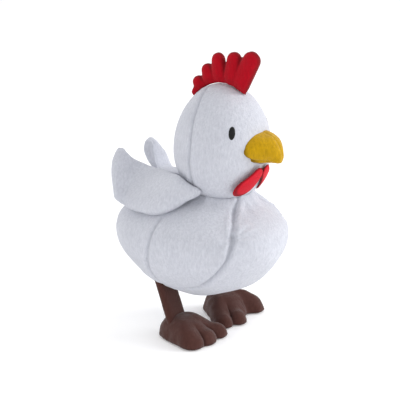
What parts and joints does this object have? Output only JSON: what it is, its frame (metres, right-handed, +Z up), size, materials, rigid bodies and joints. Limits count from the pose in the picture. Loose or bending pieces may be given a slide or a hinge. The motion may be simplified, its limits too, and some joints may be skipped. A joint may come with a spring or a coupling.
{
  "type": "stuffed toy chicken",
  "caption": "Stuffed white fleece chicken with a red comb and wattles, padded yellow beak, folded wings, cloth legs and three-toed brown feet.",
  "frame": {"origin": "on the floor, under the middle of the torso's widest level", "axes": "+Z up, the chicken looks along -Y, its left side is +X"},
  "size_m": [0.152, 0.1793, 0.2888],
  "materials": {
    "white_fleece": "short-pile polyester fleece",
    "polyester_fibre": "loose hollow-fibre filling",
    "yellow_fleece": "sheared fleece, padded",
    "red_fleece": "sheared fleece, padded",
    "red_felt": "pressed felt",
    "brown_fleece": "sheared fleece",
    "black_thread": "satin-stitch embroidery"
  },
  "bodies": {
    "torso": {"breast_panel": "white_fleece", "belly_panel": "white_fleece", "right_side_panel": "white_fleece", "left_side_panel": "white_fleece", "right_rear_panel": "white_fleece", "left_rear_panel": "white_fleece", "body_stuffing": "polyester_fibre"},
    "neck": {"neck_stuffing": "polyester_fibre"},
    "head": {"right_face_panel": "white_fleece", "left_face_panel": "white_fleece", "right_head_back_panel": "white_fleece", "left_head_back_panel": "white_fleece", "head_stuffing": "polyester_fibre", "right_eye": "black_thread", "left_eye": "black_thread", "beak_right_panel": "yellow_fleece", "beak_left_panel": "yellow_fleece", "beak_under_panel": "yellow_fleece", "beak_stuffing": "polyester_fibre"},
    "comb": {"comb_right_face": "red_fleece", "comb_left_face": "red_fleece", "comb_stuffing": "polyester_fibre"},
    "right_wattle": {"right_wattle": "red_felt"},
    "right_wing": {"right_wing_outer_panel": "white_fleece", "right_wing_inner_panel": "white_fleece", "right_wing_stuffing": "polyester_fibre"},
    "right_leg": {"right_leg_fabric": "brown_fleece", "right_leg_stuffing": "polyester_fibre"},
    "right_foot": {"right_foot_upper": "brown_fleece", "right_foot_sole": "brown_fleece", "right_foot_stuffing": "polyester_fibre"},
    "left_wattle": {"left_wattle": "red_felt"},
    "left_wing": {"left_wing_outer_panel": "white_fleece", "left_wing_inner_panel": "white_fleece", "left_wing_stuffing": "polyester_fibre"},
    "left_leg": {"left_leg_fabric": "brown_fleece", "left_leg_stuffing": "polyester_fibre"},
    "left_foot": {"left_foot_upper": "brown_fleece", "left_foot_sole": "brown_fleece", "left_foot_stuffing": "polyester_fibre"}
  },
  "joints": [
    {"name": "neck_turn", "type": "hinge", "parent": "torso", "child": "neck", "pos_m": [0, -0.0225, 0.15], "axis": [0, 0, 1], "range_deg": [-30, 30]},
    {"name": "neck_nod", "type": "hinge", "parent": "neck", "child": "head", "pos_m": [0, -0.0225, 0.189], "axis": [1, 0, 0], "range_deg": [-15, 5]},
    {"name": "comb_lean", "type": "hinge", "parent": "head", "child": "comb", "pos_m": [0, -0.0225, 0.252], "axis": [0, 1, 0], "range_deg": [-12, 12]},
    {"name": "right_wattle_swing", "type": "hinge", "parent": "head", "child": "right_wattle", "pos_m": [-0.006, -0.0723, 0.1805], "axis": [-1, 0, 0], "range_deg": [0, 60]},
    {"name": "left_wattle_swing", "type": "hinge", "parent": "head", "child": "left_wattle", "pos_m": [0.006, -0.0723, 0.1805], "axis": [-1, 0, 0], "range_deg": [0, 60]},
    {"name": "right_wing_flap", "type": "hinge", "parent": "torso", "child": "right_wing", "pos_m": [-0.037, -0.026, 0.157], "axis": [0, 0, 1], "range_deg": [0, 80]},
    {"name": "left_wing_flap", "type": "hinge", "parent": "torso", "child": "left_wing", "pos_m": [0.037, -0.026, 0.157], "axis": [0, 0, -1], "range_deg": [0, 80]},
    {"name": "right_hip", "type": "hinge", "parent": "torso", "child": "right_leg", "pos_m": [-0.039, 0.018, 0.04995], "axis": [-1, 0, 0], "range_deg": [-30, 24]},
    {"name": "right_ankle", "type": "hinge", "parent": "right_leg", "child": "right_foot", "pos_m": [-0.04, 0.0075, 0.0233], "axis": [1, 0, 0], "range_deg": [-30, 40]},
    {"name": "left_hip", "type": "hinge", "parent": "torso", "child": "left_leg", "pos_m": [0.039, 0.018, 0.04995], "axis": [-1, 0, 0], "range_deg": [-30, 24]},
    {"name": "left_ankle", "type": "hinge", "parent": "left_leg", "child": "left_foot", "pos_m": [0.037, 0.0065, 0.0233], "axis": [1, 0, 0], "range_deg": [-30, 40]}
  ]
}
